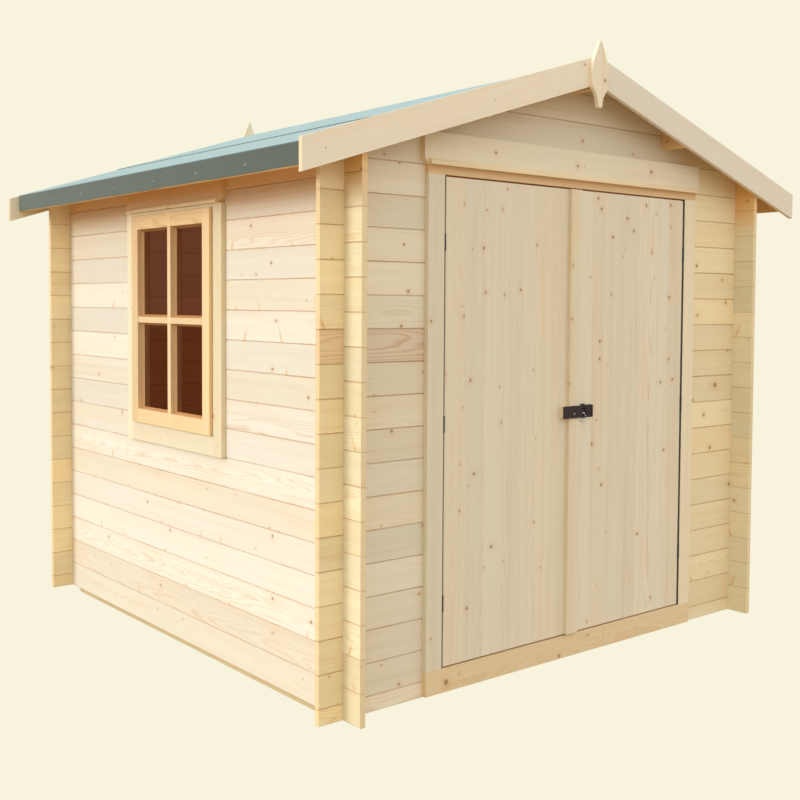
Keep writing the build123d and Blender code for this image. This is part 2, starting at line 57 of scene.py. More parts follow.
# Stage and lights
BACKDROP = (248, 243, 221)
FLOOR_LIGHT = (0.50, 0.40, 0.28)
FLOOR_RADIUS = 60.0
SKY_LOW = (1.08, 1.04, 0.98)
SKY_HIGH = (1.30, 1.36, 1.44)
KEY_STRENGTH = 1.42
KEY_SPREAD = 24
KEY_COLOUR = (1.0, 0.98, 0.96)
KEY_TOWARDS = (1.0, -0.32, -0.36)
ROOM_STRENGTH = 4.0
ROOM_COLOUR = (1.0, 0.40, 0.18)
ROOM_SOFTNESS = 0.35
ROOM_PLACE = (0.2, -0.1, 1.15)
CARD_LIGHT = (0.13, 0.030, 0.010)
CARD_SIZE = 4.5
CARD_HEIGHT = 1.3
CARD_AWAY = (-0.46, 0.89, 0.0)
CARD_DISTANCE = 5.0

# Walls of the CAD model: courses, outer faces, and the heights where window and doorway part the logs
WALL_BASE = 0.020
COURSE = 0.114
TOP_COURSE = 16
SIDE_FACE = 1.103
FRONT_FACE = 1.148
WINDOW_Y = 0.035
WINDOW_SPLIT = (0.86, 1.86)
DOOR_SPLIT = 1.88

# Roof, gables and floor of the CAD model
ROOF_SLOPE = 0.324
ROOF_UNDER = 2.330
ROOF_OVER = 2.3468
ROOF_HALF_SPAN = 1.287
ROOF_HALF_LENGTH = 1.251
SLOPE_COS = math.cos(math.atan(ROOF_SLOPE))
SLOPE_SIN = math.sin(math.atan(ROOF_SLOPE))
BARGE_APEX = 2.3648
BARGE_HEIGHT = 0.108
BARGE_REACH = 1.350
BARGE_FACE = 1.269
GABLE_FACE = 1.251
FLOOR_HALF_WIDTH = 1.078
FLOOR_UNDER = 0.08

# Trim, doors and window of the CAD model
DOOR_HEADER_FACE = -1.170
DOOR_HEADER_FOOT = 1.901
WINDOW_HEADER_FACE = -1.125
WINDOW_HEADER_FOOT = 1.799
WINDOW_TRIM_FACE = -1.123
JAMB_FACE = -1.168
LEAF_FACE = -1.164
LEAF_MEETING = 0.004
LEAF_BOARD = 0.09586
LEAF_BOARD_COUNT = 7
LEDGE_FACE = -1.130
LEDGE_HEIGHTS = (0.200, 0.991, 1.782)
HASP_HEIGHT = 0.997
SASH_STILE = 0.058
SASH_BAR = 0.026

# Roof and floor boards
ROOF_BOARD_COUNT = 26
FLOOR_BOARD_COUNT = 22
BOARD_GAP = 0.0006
BOARD_CHAMFER = 0.0025
ROOF_BOARD_PITCH = 2 * ROOF_HALF_LENGTH / ROOF_BOARD_COUNT

# Bearers, finials and back bargeboards
BEARER_CENTRES = (-1.065, -0.5515, 0.0, 0.5515, 1.065)
BEARER_WIDTH = 0.060
BEARER_SET_BACK = 0.080
BEARER_SLOPE = 0.020
FINIAL_X = -0.006
FINIAL_OUTLINE = (
    (0.010, 2.166), (0.019, 2.206), (0.030, 2.223), (0.042, 2.238), (0.046, 2.258), (0.0465, 2.312),
    (0.0425, 2.332), (0.004, 2.418),
)
FINIAL_THICKNESS = 0.017
BARGE_BACK_DROP = 0.018
BARGE_MITRE_GAP = 0.0005

# Felt at the eaves
FELT_EDGE = 1.305
FELT_THICKNESS = 0.003
FELT_LAP = 0.700
FELT_BEND = 0.007
FELT_BEND_STEPS = 6
FELT_FOOT = 1.8492
FELT_ROWS = 72
FELT_WAVE = 0.0012
FELT_BULGE = 0.0003

# Mouldings over the doors and the window, and beads round the panes
DRIP_HEIGHT = 0.020
DRIP_FOOT = 0.006
DRIP_REACH = 0.013
DRIP_STEPS = 6
DOOR_DRIP_HALF = 0.757
WINDOW_DRIP = (-0.356, 0.426)
BEAD_DEPTH = 0.012
BEAD_WIDTH = 0.009
BEAD_TOP = 0.0015

# Staple plate and ring
STAPLE_PLATE_X = (0.026, 0.103)
STAPLE_PLATE_HALF = 0.024
STAPLE_PLATE_CORNER = 0.004
STAPLE_PLATE_THICKNESS = 0.002
CORNER_STEPS = 3
RING_WIRE = 0.0028
RING_STEPS = 48
RING_SIDES = 12

# Fixings: radius and height of each kind of head, then the places
HEAD_CORNERS = 12
FELT_NAIL = (0.0045, 0.0008)
BARGE_NAIL = (0.0035, 0.0005)
TRIM_NAIL = (0.0022, 0.0003)
LEDGE_SCREW = (0.004, 0.0008)
RIVET = (0.004, 0.0012)
TO_FRONT, TO_BACK, TO_LEFT, TO_RIGHT = (0, -1, 0), (0, 1, 0), (-1, 0, 0), (1, 0, 0)
FELT_NAIL_COUNT = 8
FELT_NAIL_START = -1.2
FELT_NAIL_PITCH = 0.343
FELT_NAIL_Z = 1.880
BARGE_NAIL_X = (0.54, 1.261)
BARGE_NAIL_DROP = 0.057
DOOR_HEADER_NAIL_X = (-0.70, -0.01, 0.70)
DOOR_HEADER_NAIL_Z = 1.962
THRESHOLD_NAIL_X = (-0.71, -0.24, 0.15, 0.23, 0.71)
THRESHOLD_NAIL_Z = 0.068
WINDOW_HEADER_NAIL_Y = (-0.33, 0.035, 0.40)
WINDOW_HEADER_NAIL_Z = 1.860
WINDOW_SIDE_NAIL_Y = (-0.345, 0.415)
WINDOW_SIDE_NAIL_Z = (0.86, 1.20, 1.52)
JAMB_NAIL_X = 0.735
JAMB_NAIL_Z = (0.30, 0.85, 1.40, 1.80)
LEDGE_SCREW_RISE = (-0.022, 0.022)
RIVET_PLACE = (-0.018, -1.185, 0.990)

# Larger knots that the photograph shows: place and radius
LEFT_WALL_KNOTS = [(-SIDE_FACE, y, z, 0.006) for y, z in (
    (-1.00, 1.55), (-0.70, 1.56), (-0.56, 1.70), (-0.94, 1.09), (-1.05, 0.77), (0.55, 0.92),
    (-0.71, 0.57), (-0.71, 0.34), (0.70, 0.33), (-0.96, 0.31), (0.09, 0.46), (0.30, 0.55),
)]
FRONT_WALL_KNOTS = [(x, -FRONT_FACE, z, radius) for x, z, radius in (
    (0.95, 1.06, 0.012), (0.92, 0.78, 0.009), (0.80, 1.59, 0.008), (0.87, 0.93, 0.008),
    (1.07, 0.60, 0.008), (1.02, 1.43, 0.007), (-0.83, 1.46, 0.006), (-0.86, 1.34, 0.006),
    (-0.90, 0.98, 0.006), (0.05, 2.06, 0.006), (-0.85, 1.62, 0.005), (0.79, 1.00, 0.006),
)]
DOOR_KNOTS = [(x, LEAF_FACE, z, 0.0065) for x, z in (
    (-0.56, 0.31), (0.15, 1.80), (0.13, 1.84), (0.43, 1.83), (0.22, 1.69), (0.59, 1.45), (0.15, 1.27),
    (0.62, 1.10), (0.11, 0.86), (0.59, 1.84), (0.35, 1.72), (0.31, 1.77), (0.17, 0.69), (0.54, 1.09),
    (-0.53, 0.80), (-0.48, 1.46), (-0.49, 1.62), (-0.44, 0.52), (0.57, 0.80), (0.40, 0.46), (0.15, 1.20),
)]
HEADER_KNOTS = [(-0.44, DOOR_HEADER_FACE, 1.968, 0.006), (0.45, DOOR_HEADER_FACE, 1.968, 0.008)]
THRESHOLD_KNOTS = [(-0.66, JAMB_FACE, 0.060, 0.011), (-0.07, JAMB_FACE, 0.037, 0.007)]
FINIAL_KNOTS = [(0.020, -BARGE_FACE - FINIAL_THICKNESS, 2.271, 0.0065)]

# Small knots everywhere: mean spacing along and across the grain, smallest radius and what chance adds
KNOT_ALONG = 0.21
KNOT_ACROSS = 0.085
KNOT_SMALLEST = 0.0018
KNOT_SPREAD = 0.0034

# Growth rings: finest width and what chance adds. Unevenness: how fine it is across the grain, per metre
RING_FINEST = 0.0026
RING_SPREAD = 0.0022
FIBRES = 520
STREAKS = 150
BANDS = 36
PATCHES = 6

# Orange tongues at the lower edge of logs: spacing, colour
TONGUE_SPACING = 0.31
TONGUE = (222, 158, 82)

# Joints between boards darken from the first distance to the second
JOINT_FADE = (0.0040, 0.0010)

# A face counts as end grain where its normal along the grain is past this, level pieces and sloped ones
END_FACE = 0.7
SLOPED_END_FACE = 0.9

# Parts per metre that loose and window pieces are told apart by, and where a loose piece's depth starts
LOOSE_PARTS = 5
LOOSE_DEPTH = 1.1
WINDOW_PARTS = 10

# Window pieces: half width inside the uprights of frame and sash, half width of the middle bar, outer face.
# Then the foot of the boards over doors and window
FRAME_HALF = 0.345
SASH_HALF = 0.287
SASH_BAR_HALF = 0.0136
WINDOW_GRAIN_FACE = -1.13
HEADER_GRAIN_FOOT = 1.8

# Two figured logs left of the doors, and the rosy one of them: heights
FIGURED_LOGS = (1.21, 1.45)
ROSY_LOG = (1.21, 1.334)

# Tints that multiply the wood's own colour
HONEY = (0.70, 0.38, 0.13)
AMBER = (1.04, 0.58, 0.17)
STRAW = (1.20, 1.04, 0.64)
PALE_STRAW = (1.00, 0.97, 0.78)
ROSE = (0.75, 0.47, 0.35)
WARM = (1.0, 0.90, 0.72)
# Painted shade for the gaps round the door leaves
GAP_SHADE = (0.10, 0.11, 0.15)

# Look of the wood unless a piece asks otherwise. Figure is the strength of the growth rings, knots and
# tongues are shares, spread is the difference between pieces, and seam the darkness of joints. Tints are
# pairs of a share and a colour, landmarks are larger knots, and striking strengthens rings in places.
WOOD = dict(
    late=(203, 160, 105),
    halo=(216, 158, 92),
    knot=(140, 96, 62),
    joint=(176, 124, 76),
    end=(240, 206, 152),
    figure=0.40,
    knots=0.26,
    tongues=0.0,
    uneven=0.40,
    spread=0.08,
    seam=0.42,
    rough=0.62,
    tints=(),
    landmarks=(),
    striking=None,
)


def linear(red, green, blue):
    """Linear light values of a colour given as display values from 0 to 255."""
    return tuple(((c / 255 + 0.055) / 1.055) ** 2.4 for c in (red, green, blue))


class Wire:
    """A number in a material's node tree. Arithmetic on it adds nodes."""

    def __init__(self, graph, socket):
        self.graph = graph
        self.socket = socket

    def __add__(self, other):
        return self.graph.math("ADD", self, other)

    def __sub__(self, other):
        return self.graph.math("SUBTRACT", self, other)

    def __rsub__(self, other):
        return self.graph.math("SUBTRACT", other, self)

    def __mul__(self, other):
        return self.graph.math("MULTIPLY", self, other)

    def __truediv__(self, other):
        return self.graph.math("DIVIDE", self, other)

    def __gt__(self, other):
        return self.graph.math("GREATER_THAN", self, other)

    def __lt__(self, other):
        return self.graph.math("LESS_THAN", self, other)

    def __abs__(self):
        return self.graph.math("ABSOLUTE", self)

    def floor(self):
        return self.graph.math("FLOOR", self)

    def fract(self):
        return self.graph.math("FRACT", self)

    def bell(self, width):
        """One where this is zero, falling smoothly to zero within about two widths."""
        scaled = self / width
        return self.graph.math("EXPONENT", 0 - scaled * scaled)


class Graph:
    """A material's node tree around one principled shader. Each call adds a node and gives its output."""

    def __init__(self, name, **settings):
        self.material = bpy.data.materials.new(name)
        self.material.use_nodes = True
        self.tree = self.material.node_tree
        self.tree.nodes.clear()
        self.shader = self.node("BsdfPrincipled")
        self.node("OutputMaterial", self.shader.outputs[0])
        coordinates = self.node("TexCoord")
        self.x, self.y, self.z = self.split(coordinates.outputs["Object"])
        self.nx, self.ny, self.nz = self.split(coordinates.outputs["Normal"])
        for key, value in settings.items():
            self.set(key.replace("_", " "), value)

    def set(self, name, value):
        """Sets one of the shader's inputs."""
        self.put(self.shader.inputs[name], value)

    def put(self, socket, value):
        """Links a socket to a wire or another socket, or sets it to a number or colour."""
        if isinstance(value, Wire):
            value = value.socket
        if isinstance(value, bpy.types.NodeSocket):
            self.tree.links.new(value, socket)
        elif socket.type == "RGBA":
            socket.default_value = (*value, 1)
        else:
            socket.default_value = value

    def node(self, kind, *values):
        """Adds a node, with something for each of its first inputs."""
        node = self.tree.nodes.new("ShaderNode" + kind)
        for socket, value in zip(node.inputs, values):
            self.put(socket, value)
        return node

    def math(self, operation, *values):
        node = self.node("Math", *values)
        node.operation = operation
        return Wire(self, node.outputs[0])

    def least(self, a, b):
        return self.math("MINIMUM", a, b)

    def most(self, a, b):
        return self.math("MAXIMUM", a, b)

    def root(self, a):
        return self.math("SQRT", a)

    def split(self, vector):
        return [Wire(self, part) for part in self.node("SeparateXYZ", vector).outputs]

    def vector(self, *values):
        return self.node("CombineXYZ", *values).outputs[0]

    def place(self):
        return self.vector(self.x, self.y, self.z)

    def ramp(self, value, low, high, start=0.0, end=1.0):
        """Smooth step of value from start at low to end at high."""
        node = self.node("MapRange", value, low, high, start, end)
        node.interpolation_type = "SMOOTHSTEP"
        return Wire(self, node.outputs[0])

    def choose(self, share, a, b):
        """The number a where share is 0 and b where it is 1."""
        return a + (b - a) * share

    def mix(self, share, a, b, kind="MIX"):
        """Colour a where share is 0, and b where it is 1."""
        node = self.node("Mix")
        node.data_type = "RGBA"
        node.blend_type = kind
        for index, value in ((0, share), (6, a), (7, b)):
            self.put(node.inputs[index], value)
        return node.outputs[2]

    def times(self, a, b):
        """Product of two colours."""
        return self.mix(1.0, a, b, "MULTIPLY")

    def noise(self, vector, scale=1.0, detail=2.0, roughness=0.5):
        """Smooth noise around zero."""
        node = self.node("TexNoise", vector)
        for name, value in (("Scale", scale), ("Detail", detail), ("Roughness", roughness)):
            self.put(node.inputs[name], value)
        return Wire(self, node.outputs[0]) - 0.5

    def dice(self, *values):
        """Three random numbers for each whole-numbered piece."""
        return self.split(self.node("TexWhiteNoise", self.vector(*values)).outputs["Color"])

    def cells(self, u, v):
        """Nearest of scattered points: its two coordinates and three random numbers."""
        node = self.node("TexVoronoi", self.vector(u, v, 0.0))
        node.voronoi_dimensions = "2D"
        node.inputs["Scale"].default_value = 1.0
        point = self.split(node.outputs["Position"])
        return point[0], point[1], self.split(node.outputs["Color"])

    def distance(self, place, point):
        node = self.node("VectorMath", place, point)
        node.operation = "DISTANCE"
        return Wire(self, node.outputs["Value"])

    def bump(self, height, distance, strength):
        node = self.node("Bump", strength, distance)
        self.put(node.inputs["Height"], height)
        self.set("Normal", node.outputs[0])


# How the grain lies in each kind of piece: along, across from the piece's own edge, depth from its face,
# two numbers that tell pieces apart, the distance to the nearest joint, and where the end grain is.

def strips(g, position, width):
    """Boards side by side, for a position counted in boards: board, way in from its edge, way to a joint."""
    board = position.floor()
    across = (position - board) * width
    return board, across, g.least(across, width - across)


def on_slope(g):
    """Place on the roof: along the slope, and above the underside of the roof boards."""
    along = abs(g.x) * SLOPE_COS - g.z * SLOPE_SIN
    above = abs(g.x) * SLOPE_SIN + g.z * SLOPE_COS - ROOF_UNDER * SLOPE_COS
    return along, above


def side_log_grain(g):
    """Logs of the side walls. The tall top log has no joint over it."""
    position = (g.z - WALL_BASE) / COURSE
    course = g.least(position.floor(), TOP_COURSE)
    across = (position - course) * COURSE
    joint = g.least(across, COURSE - across + (course > TOP_COURSE - 0.5))
    beside_window = (g.z > WINDOW_SPLIT[0]) * (g.z < WINDOW_SPLIT[1]) * (g.x < 0)
    side = (g.y > WINDOW_Y) * beside_window + (g.x > 0) * 3
    return g.y, across, SIDE_FACE - abs(g.x), course, side, joint, abs(g.ny) > END_FACE


def end_log_grain(g):
    """Logs of the front and back walls, half a course out of step with the side walls."""
    course, across, joint = strips(g, (g.z - WALL_BASE) / COURSE - 0.5, COURSE)
    side = (g.x > 0) * (g.z < DOOR_SPLIT) * (g.y < 0) + (g.y > 0) * 3
    return g.x, across, FRONT_FACE - abs(g.y), course, side, joint, abs(g.nx) > END_FACE


def leaf_board_grain(g):
    board, across, joint = strips(g, (abs(g.x) - LEAF_MEETING) / LEAF_BOARD, LEAF_BOARD)
    return g.z, across, g.y - LEAF_FACE, board, g.x > 0, joint, abs(g.nz) > END_FACE


def roof_board_grain(g):
    board, across, joint = strips(g, (g.y + ROOF_HALF_LENGTH) / ROOF_BOARD_PITCH, ROOF_BOARD_PITCH)
    along, above = on_slope(g)
    return along, across, above, board, g.x > 0, joint, abs(g.nx) > SLOPED_END_FACE


def floor_board_grain(g):
    pitch = 2 * FLOOR_HALF_WIDTH / FLOOR_BOARD_COUNT
    board, across, joint = strips(g, (g.x + FLOOR_HALF_WIDTH) / pitch, pitch)
    return g.y, across, g.z - FLOOR_UNDER, board, 0.0, joint, abs(g.ny) > END_FACE


def sloped_grain(g):
    """Boards that follow the roof's slope on a gable."""
    along, above = on_slope(g)
    return along, above, BARGE_FACE - abs(g.y), g.x > 0, g.y > 0, None, abs(g.nx) > SLOPED_END_FACE


def long_grain(axis, across_axis, depth_axis):
    """Grain of loose pieces that all run along one axis."""
    def grain(g):
        place = dict(x=g.x, y=g.y, z=g.z)
        normal = dict(x=g.nx, y=g.ny, z=g.nz)
        across, depth = place[across_axis], place[depth_axis]
        part = (across * LOOSE_PARTS).floor()
        end = abs(normal[axis]) > END_FACE
        return place[axis], across, abs(depth) - LOOSE_DEPTH, part, depth > 0, None, end
    return grain


def window_grain(half, bar):
    """Grain of a frame in the left wall: upright outside a half width and at the middle bar, or level."""
    def grain(g):
        off = abs(g.y - WINDOW_Y)
        upright = g.most(off > half, off < bar)
        along = g.choose(upright, g.y, g.z)
        across = g.choose(upright, g.z, g.y)
        end = g.choose(upright, abs(g.ny), abs(g.nz)) > END_FACE
        part = (across * WINDOW_PARTS).floor()
        return along, across - part / WINDOW_PARTS, WINDOW_GRAIN_FACE - g.x, part, upright, None, end
    return grain


def header_grain(g):
    """Boards over the doors, and over the window, which is left of them all."""
    window = g.x < -1.0
    along = g.choose(window, g.x, g.y)
    depth = g.choose(window, g.y - DOOR_HEADER_FACE, g.x - WINDOW_HEADER_FACE)
    end = g.choose(window, abs(g.nx), abs(g.ny)) > END_FACE
    return along, g.z - HEADER_GRAIN_FOOT, depth, window, 0.0, None, end


def small_knots(g, along, across, chances, share):
    """Scattered knots: knot, halo, turn of the grain, place across once turned, and the knot's mottling."""
    u = along / KNOT_ALONG + chances[0] * 57
    v = across / KNOT_ACROSS + chances[1] * 31
    knot_u, knot_v, (size, chance, _) = g.cells(u, v)
    du, dv = (u - knot_u) * KNOT_ALONG, (v - knot_v) * KNOT_ACROSS
    radius = size * size * KNOT_SPREAD + KNOT_SMALLEST
    present = chance < share
    reach = g.root(du * du * 0.64 + dv * dv)
    knot = g.ramp(reach, radius * 1.15, radius * 0.8) * present
    halo = (reach / radius).bell(2.6) * present
    flow = (du / radius).bell(6.0) * (dv / radius).bell(2.6) * present
    core = g.noise(g.vector(du * 900, dv * 900, chances[0] * 9))
    return knot, halo, flow, across - dv * flow * 0.8, core


def growth_rings(g, along, across, depth, chances):
    """Dark late wood of the growth rings round a pith that lies near the piece."""
    r1, r2, r3, r4, r5, r6 = chances
    wander = g.noise(g.vector(along * 1.3, across * 9 + r1 * 40, depth * 9 + r2 * 40))
    sway = g.noise(g.vector(along * 7, across * 30 + r3 * 40, depth * 30), detail=3.0)
    pith_across = (r3 - 0.5) * 0.15 + across - 0.05 + wander * 0.05
    pith_depth = depth + r4 * 0.08 + 0.02 + wander * 0.03
    reach = g.root(pith_across * pith_across + pith_depth * pith_depth)
    reach = reach + along * (r5 - 0.5) * 0.05 + sway * 0.0025
    phase = (reach / (r6 * RING_SPREAD + RING_FINEST)).fract()
    return g.ramp(phase, 0.35, 0.85) * g.ramp(phase, 1.0, 0.9)


def unevenness(g, along, across, depth, chances):
    """Four noises drawn out along the grain, from single fibres to broad patches."""
    r1, r2, r3, _, r5, r6 = chances
    band = g.noise(g.vector(along * 0.8, across * BANDS + r5 * 90, depth * BANDS + r1 * 30), detail=3.0)
    fibre = g.noise(g.vector(along * 9, across * FIBRES, depth * FIBRES + r2 * 50), roughness=0.6)
    streak_place = g.vector(along * 2.6, across * STREAKS + r3 * 60, depth * STREAKS)
    streak = g.noise(streak_place, detail=3.0, roughness=0.6)
    patch = g.noise(g.vector(along * 2.2, across * PATCHES + r6 * 50, depth * PATCHES), detail=3.0)
    return fibre, streak, band, patch


def wood(name, grain, pale, seed, **changes):
    """Softwood: growth rings round a pith, fibres, knots that the grain turns round, and dark joints."""
    look = {**WOOD, **changes}
    g = Graph(name)
    along, across, depth, piece, side, joint, end = grain(g)
    chances = g.dice(piece, side, seed) + g.dice(piece, side, seed + 0.5)
    _, r2, r3, r4, r5, _ = chances
    knot, halo, flow, bent, core = small_knots(g, along, across, chances, look["knots"])
    late = growth_rings(g, along, bent, depth, chances)
    fibre, streak, band, patch = unevenness(g, along, across, depth, chances)

    # Body colour: the rings show strongly in a few pieces and weakly in most
    strong = g.ramp(r4, 0.74, 0.96, 0.30, 1.0)
    if look["striking"]:
        strong = strong + look["striking"](g)
    tone = late * strong * look["figure"] + band * look["uneven"] + fibre * 0.22 + patch * 0.32
    tone = tone + streak * look["uneven"] * 0.7 + 0.06
    colour = g.mix(g.ramp(tone, -0.05, 1.0), linear(*pale), linear(*look["late"]))
    shade = (r2 - 0.5) * look["spread"] * 2 + patch * 0.10 + 1.0
    colour = g.times(colour, g.vector(shade, shade * 0.997, shade * 0.985))
    warmth = g.ramp(r5, 0.45, 1.0, 0.0, 0.34) + g.ramp(patch, 0.02, 0.3, 0.0, 0.25)
    colour = g.mix(warmth, colour, g.times(colour, WARM))
    for share, tint in look["tints"]:
        colour = g.mix(share(g), colour, g.times(colour, tint))

    # Knots, end grain and joints over it
    if look["landmarks"]:
        spot = landmark_reach(g, look["landmarks"])
        knot = g.most(knot, g.ramp(spot, 1.1, 0.75))
        halo = g.most(halo, spot.bell(2.3))
    colour = g.mix(halo * 0.30 + flow * 0.10, colour, linear(*look["halo"]))
    if look["tongues"]:
        colour = edge_tongues(g, colour, along, across, r3, look["tongues"])
    colour = g.mix(knot * (core * 0.5 + 0.67), colour, linear(*look["knot"]))
    colour = g.mix(end * 0.5, colour, linear(*look["end"]))
    if joint is not None:
        seam = g.ramp(joint, *JOINT_FADE) * (patch * 0.9 + look["seam"])
        colour = g.mix(seam, colour, linear(*look["joint"]))
    g.set("Base Color", colour)
    g.set("Roughness", late * -0.10 + fibre * 0.16 + knot * -0.12 + look["rough"])
    g.set("Specular IOR Level", 0.32)
    g.bump(fibre * 0.35 + late * 0.35 + knot * 0.5 + band * 0.2, 0.0006, 0.8)
    return g.material


def landmark_reach(g, places):
    """Distance to the nearest of the larger knots that the photograph shows, in knot radii."""
    here = g.place()
    nearest = None
    for x, y, z, radius in places:
        reach = g.distance(here, (x, y, z)) / radius
        nearest = reach if nearest is None else g.least(nearest, reach)
    return nearest


def edge_tongues(g, colour, along, across, shift, share):
    """Short orange tongues that rise from the lower joint, where a branch was cut by the edge."""
    u = along / TONGUE_SPACING + shift * 71
    point, _, (size, chance, lean) = g.cells(u, shift * 9)
    curl = g.noise(g.vector(along * 40, across * 60, shift * 20))
    offset = (u - point) * TONGUE_SPACING + across * (lean - 0.5) * 1.4 + curl * 0.008
    tall = size * size * 0.07 + 0.008
    width = lean * 0.005 + 0.0025
    tongue = (offset / width).bell(1.0) * g.ramp(across, tall, tall * 0.25) * (chance < share)
    return g.mix(tongue * (curl * 0.6 + 0.62), colour, linear(*TONGUE))


def plain_material(name, colour, roughness, metallic=0.0, speckle=400.0, wear=0.12):
    """Metal with fine mottling, slight wear and a little bump."""
    g = Graph(name, Metallic=metallic)
    fine = g.noise(g.place(), scale=speckle, detail=3.0)
    broad = g.noise(g.place(), scale=speckle / 12)
    tone = fine * wear + broad * wear * 1.5 + 1.0
    g.set("Base Color", g.times(linear(*colour), g.vector(tone, tone, tone)))
    g.set("Roughness", fine * 0.14 + broad * 0.2 + roughness)
    g.bump(fine, 0.0003, 0.6)
    return g.material


def felt_material():
    """Green mineral felt: coarse granules, upward faces paler as painted sky light, patches drawn out down
    the slope.
    """
    g = Graph("roof_felt_green", Sheen_Weight=0.6, Sheen_Roughness=0.45)
    g.set("Sheen Tint", linear(214, 236, 232))
    grit = g.noise(g.place(), scale=900, roughness=0.7)
    flake = g.noise(g.place(), scale=260)
    patch = g.noise(g.vector(g.x * 1.5, g.y * 6, g.z * 2), scale=1.4, detail=3.0)
    tone = grit * 0.55 + flake * 0.30 + patch * 0.24 + 1.0
    # Painted light: faces that look up are paler, the bent edges over the eaves darker.
    top = g.ramp(g.nz, 0.35, 0.8)
    base = g.mix(top, linear(76, 84, 72), linear(122, 150, 150))
    g.set("Base Color", g.times(base, g.vector(tone, tone, tone)))
    g.set("Roughness", grit * 0.2 + 0.78)
    g.bump(grit * 0.7 + flake * 0.5, 0.0012, 0.9)
    return g.material


def glass_material():
    """Window glass with a warm tint, faint waves and dust."""
    g = Graph("pane_glass", Transmission_Weight=1.0, IOR=1.45)
    dust = g.noise(g.place(), scale=60, detail=4.0)
    wave = g.noise(g.place(), scale=7, detail=1.0)
    tint = dust * 0.08 + 0.93
    g.set("Base Color", g.times(linear(212, 164, 130), g.vector(tint, tint, tint)))
    g.set("Roughness", g.ramp(dust, 0.05, 0.4, 0.005, 0.06))
    g.bump(wave, 0.0006, 0.15)
    return g.material


def paint(material, *names):
    """Gives CAD nodes a material in the slots they already have."""
    for name in names:
        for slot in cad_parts[name].material_slots:
            slot.material = material


def finish_side_walls():
    # Painted shade of the eaves: the logs turn amber towards the top of the wall.
    def painted_eave_shade(g):
        return g.ramp(g.z, 1.70, 1.90, 0.0, 0.75)

    def crossed_sides(g):
        """The parts of the side logs beyond the corners."""
        return g.ramp(abs(g.y), FRONT_FACE - 0.003, FRONT_FACE + 0.003)

    side = wood("side_log_pine", side_log_grain, (234, 228, 212), 3, tongues=0.30, figure=0.24, knots=0.2,
                uneven=0.55, tints=[(painted_eave_shade, AMBER), (crossed_sides, PALE_STRAW)],
                joint=(196, 146, 98), landmarks=LEFT_WALL_KNOTS)
    paint(side, "left_wall_logs_even", "left_wall_logs_odd", "right_wall_logs_even", "right_wall_logs_odd",
          "log_under_window", "log_over_window")


def finish_end_walls():
    def left_of_doors(g):
        return (g.x < 0) * (g.y < 0)

    def striking(g):
        low, high = FIGURED_LOGS
        return g.ramp(g.z, low, low + 0.01) * g.ramp(g.z, high, high - 0.01) * left_of_doors(g) * 0.30

    def rosy(g):
        low, high = ROSY_LOG
        return g.ramp(g.z, low, low + 0.01) * g.ramp(g.z, high, high - 0.004) * left_of_doors(g) * 0.3

    # Painted shade under the bargeboards: the gable logs turn honey-coloured towards the apex.
    def painted_gable_shade(g):
        return g.ramp(g.z, 1.86, 2.34, 0.0, 0.12)

    def right_part(g):
        return g.ramp(g.x, 0.5, 0.8, 0.0, 0.42) * (g.y < 0)

    def crossed_ends(g):
        """The parts of the end logs beyond the corners."""
        return g.ramp(abs(g.x), SIDE_FACE - 0.003, SIDE_FACE + 0.003, 0.0, 0.55)

    end = wood("end_log_pine", end_log_grain, (234, 224, 199), 5, figure=0.34, tongues=0.10, knots=0.2,
               uneven=0.50, tints=[(right_part, STRAW), (painted_gable_shade, HONEY), (crossed_ends, STRAW),
                                   (rosy, ROSE)],
               landmarks=FRONT_WALL_KNOTS, striking=striking)
    paint(end, "front_wall_logs_even", "front_wall_logs_odd", "front_base_log", "front_gable_logs_even",
          "front_gable_logs_odd", "back_wall_logs_even", "back_wall_logs_odd")


def finish_door_frame():
    def painted_gap_shade(g):
        """Painted shade in the gap between jamb and leaf."""
        in_gap = g.ramp(abs(g.x), 0.6836, 0.6832)
        return in_gap * (g.y > JAMB_FACE + 0.0005) * (g.y < -FRONT_FACE) * 0.92

    def shaded_head(g):
        return g.ramp(g.z, 1.870, 1.90, 0.25, 0.5)

    upright = wood("jamb_pine", long_grain("z", "x", "y"), (236, 224, 196), 7, knots=0.2,
                   tints=[(painted_gap_shade, GAP_SHADE)])
    level = wood("door_head_pine", long_grain("x", "z", "y"), (226, 202, 160), 8, knots=0.3,
                 tints=[(shaded_head, HONEY)])
    threshold = wood("threshold_pine", long_grain("x", "z", "y"), (230, 208, 168), 9, knots=0.25,
                     landmarks=THRESHOLD_KNOTS)
    paint(upright, "door_jambs")
    paint(level, "door_head", "door_sill")
    paint(threshold, "threshold_boards")


def finish_window_and_headers():
    # Painted shade of the eave on the board over the window: amber towards its top.
    def painted_header_eave_shade(g):
        return g.ramp(g.x, -1.0, -1.05) * g.ramp(g.z, 1.80, 1.90, 0.35, 0.85)

    sash_grain = window_grain(SASH_HALF, SASH_BAR_HALF)
    headers = wood("header_pine", header_grain, (238, 226, 198), 10, figure=0.35, knots=0.12,
                   tints=[(painted_header_eave_shade, AMBER)], landmarks=HEADER_KNOTS)
    trim = wood("window_trim_pine", window_grain(FRAME_HALF, 0.0), (237, 227, 196), 12, knots=0.22)
    sash = wood("sash_pine", sash_grain, (236, 208, 162), 13, knots=0.15)
    # The beads are a darker honey pine than the sash, as painted shade round the panes.
    beads = wood("bead_pine_painted_shade", sash_grain, (196, 140, 86), 14, knots=0.0)
    paint(headers, "header_boards")
    paint(trim, "window_frame")
    paint(sash, "window_sash")
    glazing_beads(beads)


